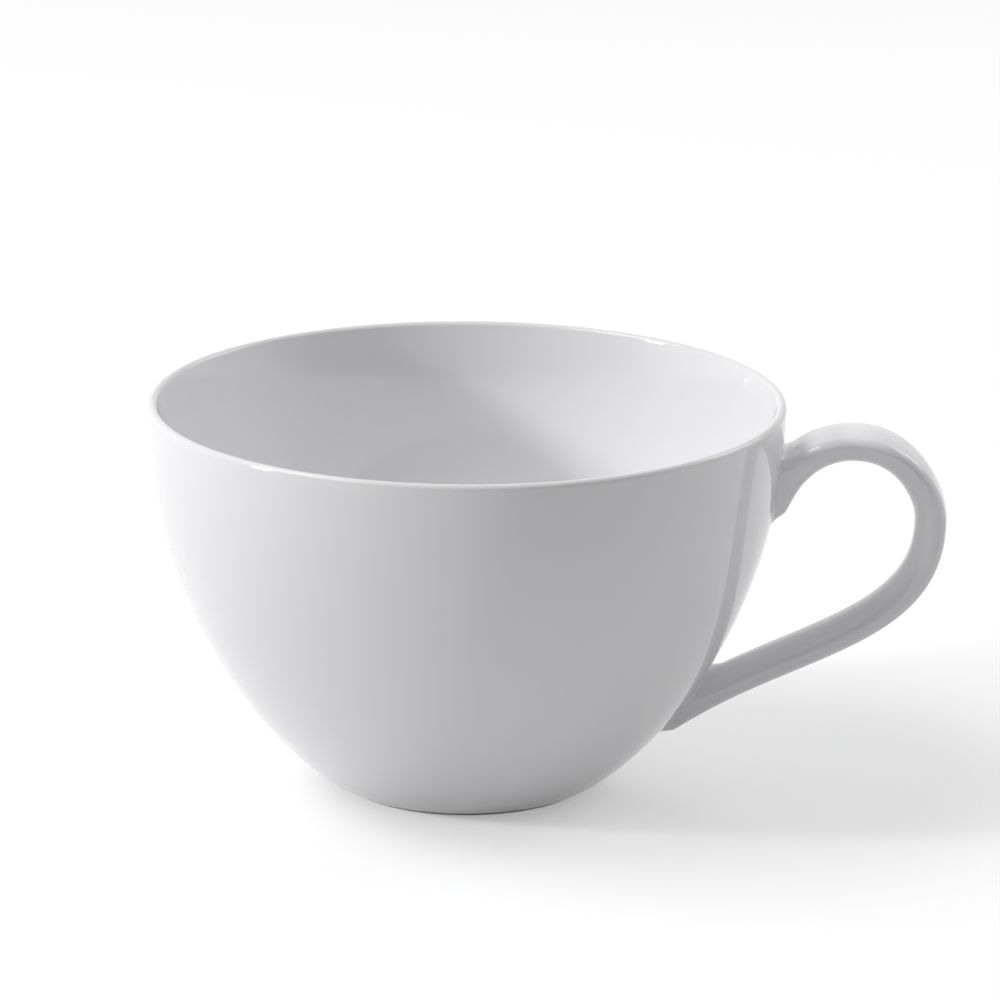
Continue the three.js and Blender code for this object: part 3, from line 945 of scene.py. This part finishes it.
def stand_card(scene, studio, target):
    """A dark curved card round the front and sides, as the unlit studio. The camera doesn't see it."""
    material, bench, matt = matt_material("front_card", studio.card)
    thinned = bench.add("ShaderNodeAttribute", attribute_name=CARD_END).outputs["Fac"]
    clear = bench.add("ShaderNodeBsdfTransparent").outputs["BSDF"]
    mixed = bench.add("ShaderNodeMixShader", {"Fac": thinned, 1: matt, 2: clear})
    bench.add("ShaderNodeOutputMaterial", {"Surface": mixed.outputs["Shader"]})
    half = studio.card_spread / 2
    turns = np.linspace(-half, half, CARD_STEPS + 1)
    corners = []
    for turn in turns + FRONT_TURN:
        foot = Vector((target.x, target.y, 0.0)) + studio_way(studio, turn) * studio.card_distance
        corners += [foot, foot + Vector((0.0, 0.0, studio.card_height))]
    faces = [(foot, foot + 1, foot + 3, foot + 2) for foot in range(0, 2 * CARD_STEPS, 2)]
    card = stage_piece(scene, "front_card", corners, faces, material)
    thinning = ease(1.0 - (half - np.abs(turns)) / studio.card_fade)
    ends = card.data.attributes.new(CARD_END, "FLOAT", "POINT")
    ends.data.foreach_set("value", np.repeat(thinning, 2))
    card.visible_camera = False


def white_seen_by(bench):
    """One for rays from the camera and for mirrored or passing rays, nought for the rest."""
    rays = bench.add("ShaderNodeLightPath").outputs
    seen = bench.math("MAXIMUM", rays["Is Camera Ray"], rays["Is Glossy Ray"])
    return bench.math("MAXIMUM", seen, rays["Is Transmission Ray"])


def light_sky(scene, studio):
    """Even light from all round, seen as plain white."""
    world = bpy.data.worlds.new("studio_sky")
    bench = empty_bench(world)
    seen = white_seen_by(bench)
    glow = bench.add("ShaderNodeBackground", {"Color": opaque(studio.sky_tint), "Strength": studio.sky})
    white = bench.add("ShaderNodeBackground", {"Color": opaque(WHITE), "Strength": 1.0})
    mixed = bench.add("ShaderNodeMixShader", {
        "Fac": seen, 1: glow.outputs["Background"], 2: white.outputs["Background"],
    })
    bench.add("ShaderNodeOutputWorld", {"Surface": mixed.outputs["Shader"]})
    scene.world = world


def lay_floor(scene, studio):
    """A plain pale floor that takes the cup's shadow and is seen as white away from it."""
    material, bench, matt = matt_material("studio_floor", studio.floor)
    lift = bench.math("MULTIPLY", white_seen_by(bench), studio.floor_lift)
    glow = bench.add("ShaderNodeEmission", {"Strength": lift}).outputs["Emission"]
    both = bench.add("ShaderNodeAddShader", {0: matt, 1: glow}).outputs["Shader"]
    bench.add("ShaderNodeOutputMaterial", {"Surface": both})
    half = studio.floor_size / 2
    corners = [(-half, -half, 0.0), (half, -half, 0.0), (half, half, 0.0), (-half, half, 0.0)]
    stage_piece(scene, "studio_floor", corners, [(0, 1, 2, 3)], material)


class CUP_OT_set_stage(bpy.types.Operator):
    """Set the camera, the lamps, the sky, the card and the floor"""

    bl_idname = "cup.set_stage"
    bl_label = "Set stage"

    def execute(self, context):
        scene = context.scene
        studio = scene.cup_studio
        height = scene.cup_bowl.height
        place_camera(scene, studio, Vector((AXIS_X, 0.0, height)))
        middle = Vector((AXIS_X, 0.0, height / 2))
        light_cup(scene, studio, middle)
        light_sky(scene, studio)
        stand_card(scene, studio, middle)
        lay_floor(scene, studio)
        scene.view_settings.view_transform = "Standard"
        return {"FINISHED"}


class CUP_PT_pieces(bpy.types.Panel):
    """Pieces of the cup and its stage"""

    bl_idname = "CUP_PT_pieces"
    bl_label = "Breakfast cup"
    bl_space_type = "VIEW_3D"
    bl_region_type = "UI"
    bl_category = "Cup"

    def draw(self, context):
        for operator in OPERATORS:
            self.layout.operator(operator.bl_idname)
        for group in SETTINGS:
            box = self.layout.box()
            settings = getattr(context.scene, group)
            for key in settings.bl_rna.properties.keys():
                if key not in ("rna_type", "name"):
                    box.prop(settings, key)


OPERATORS = (CUP_OT_make_bowl, CUP_OT_make_handle, CUP_OT_make_joints, CUP_OT_set_stage)
SETTINGS = {
    "cup_bowl": CupBowlSizes,
    "cup_handle": CupHandleSizes,
    "cup_glaze": CupGlaze,
    "cup_studio": CupStudio,
}
CLASSES = (*SETTINGS.values(), *OPERATORS, CUP_PT_pieces)


def register():
    for made in CLASSES:
        bpy.utils.register_class(made)
    for name, group in SETTINGS.items():
        setattr(bpy.types.Scene, name, PointerProperty(type=group))


def unregister():
    for name in SETTINGS:
        delattr(bpy.types.Scene, name)
    for made in reversed(CLASSES):
        bpy.utils.unregister_class(made)


def main():
    register()
    bpy.ops.cup.make_bowl()
    bpy.ops.cup.make_handle()
    bpy.ops.cup.make_joints()
    bpy.ops.cup.set_stage()


if __name__ == "__main__":
    main()
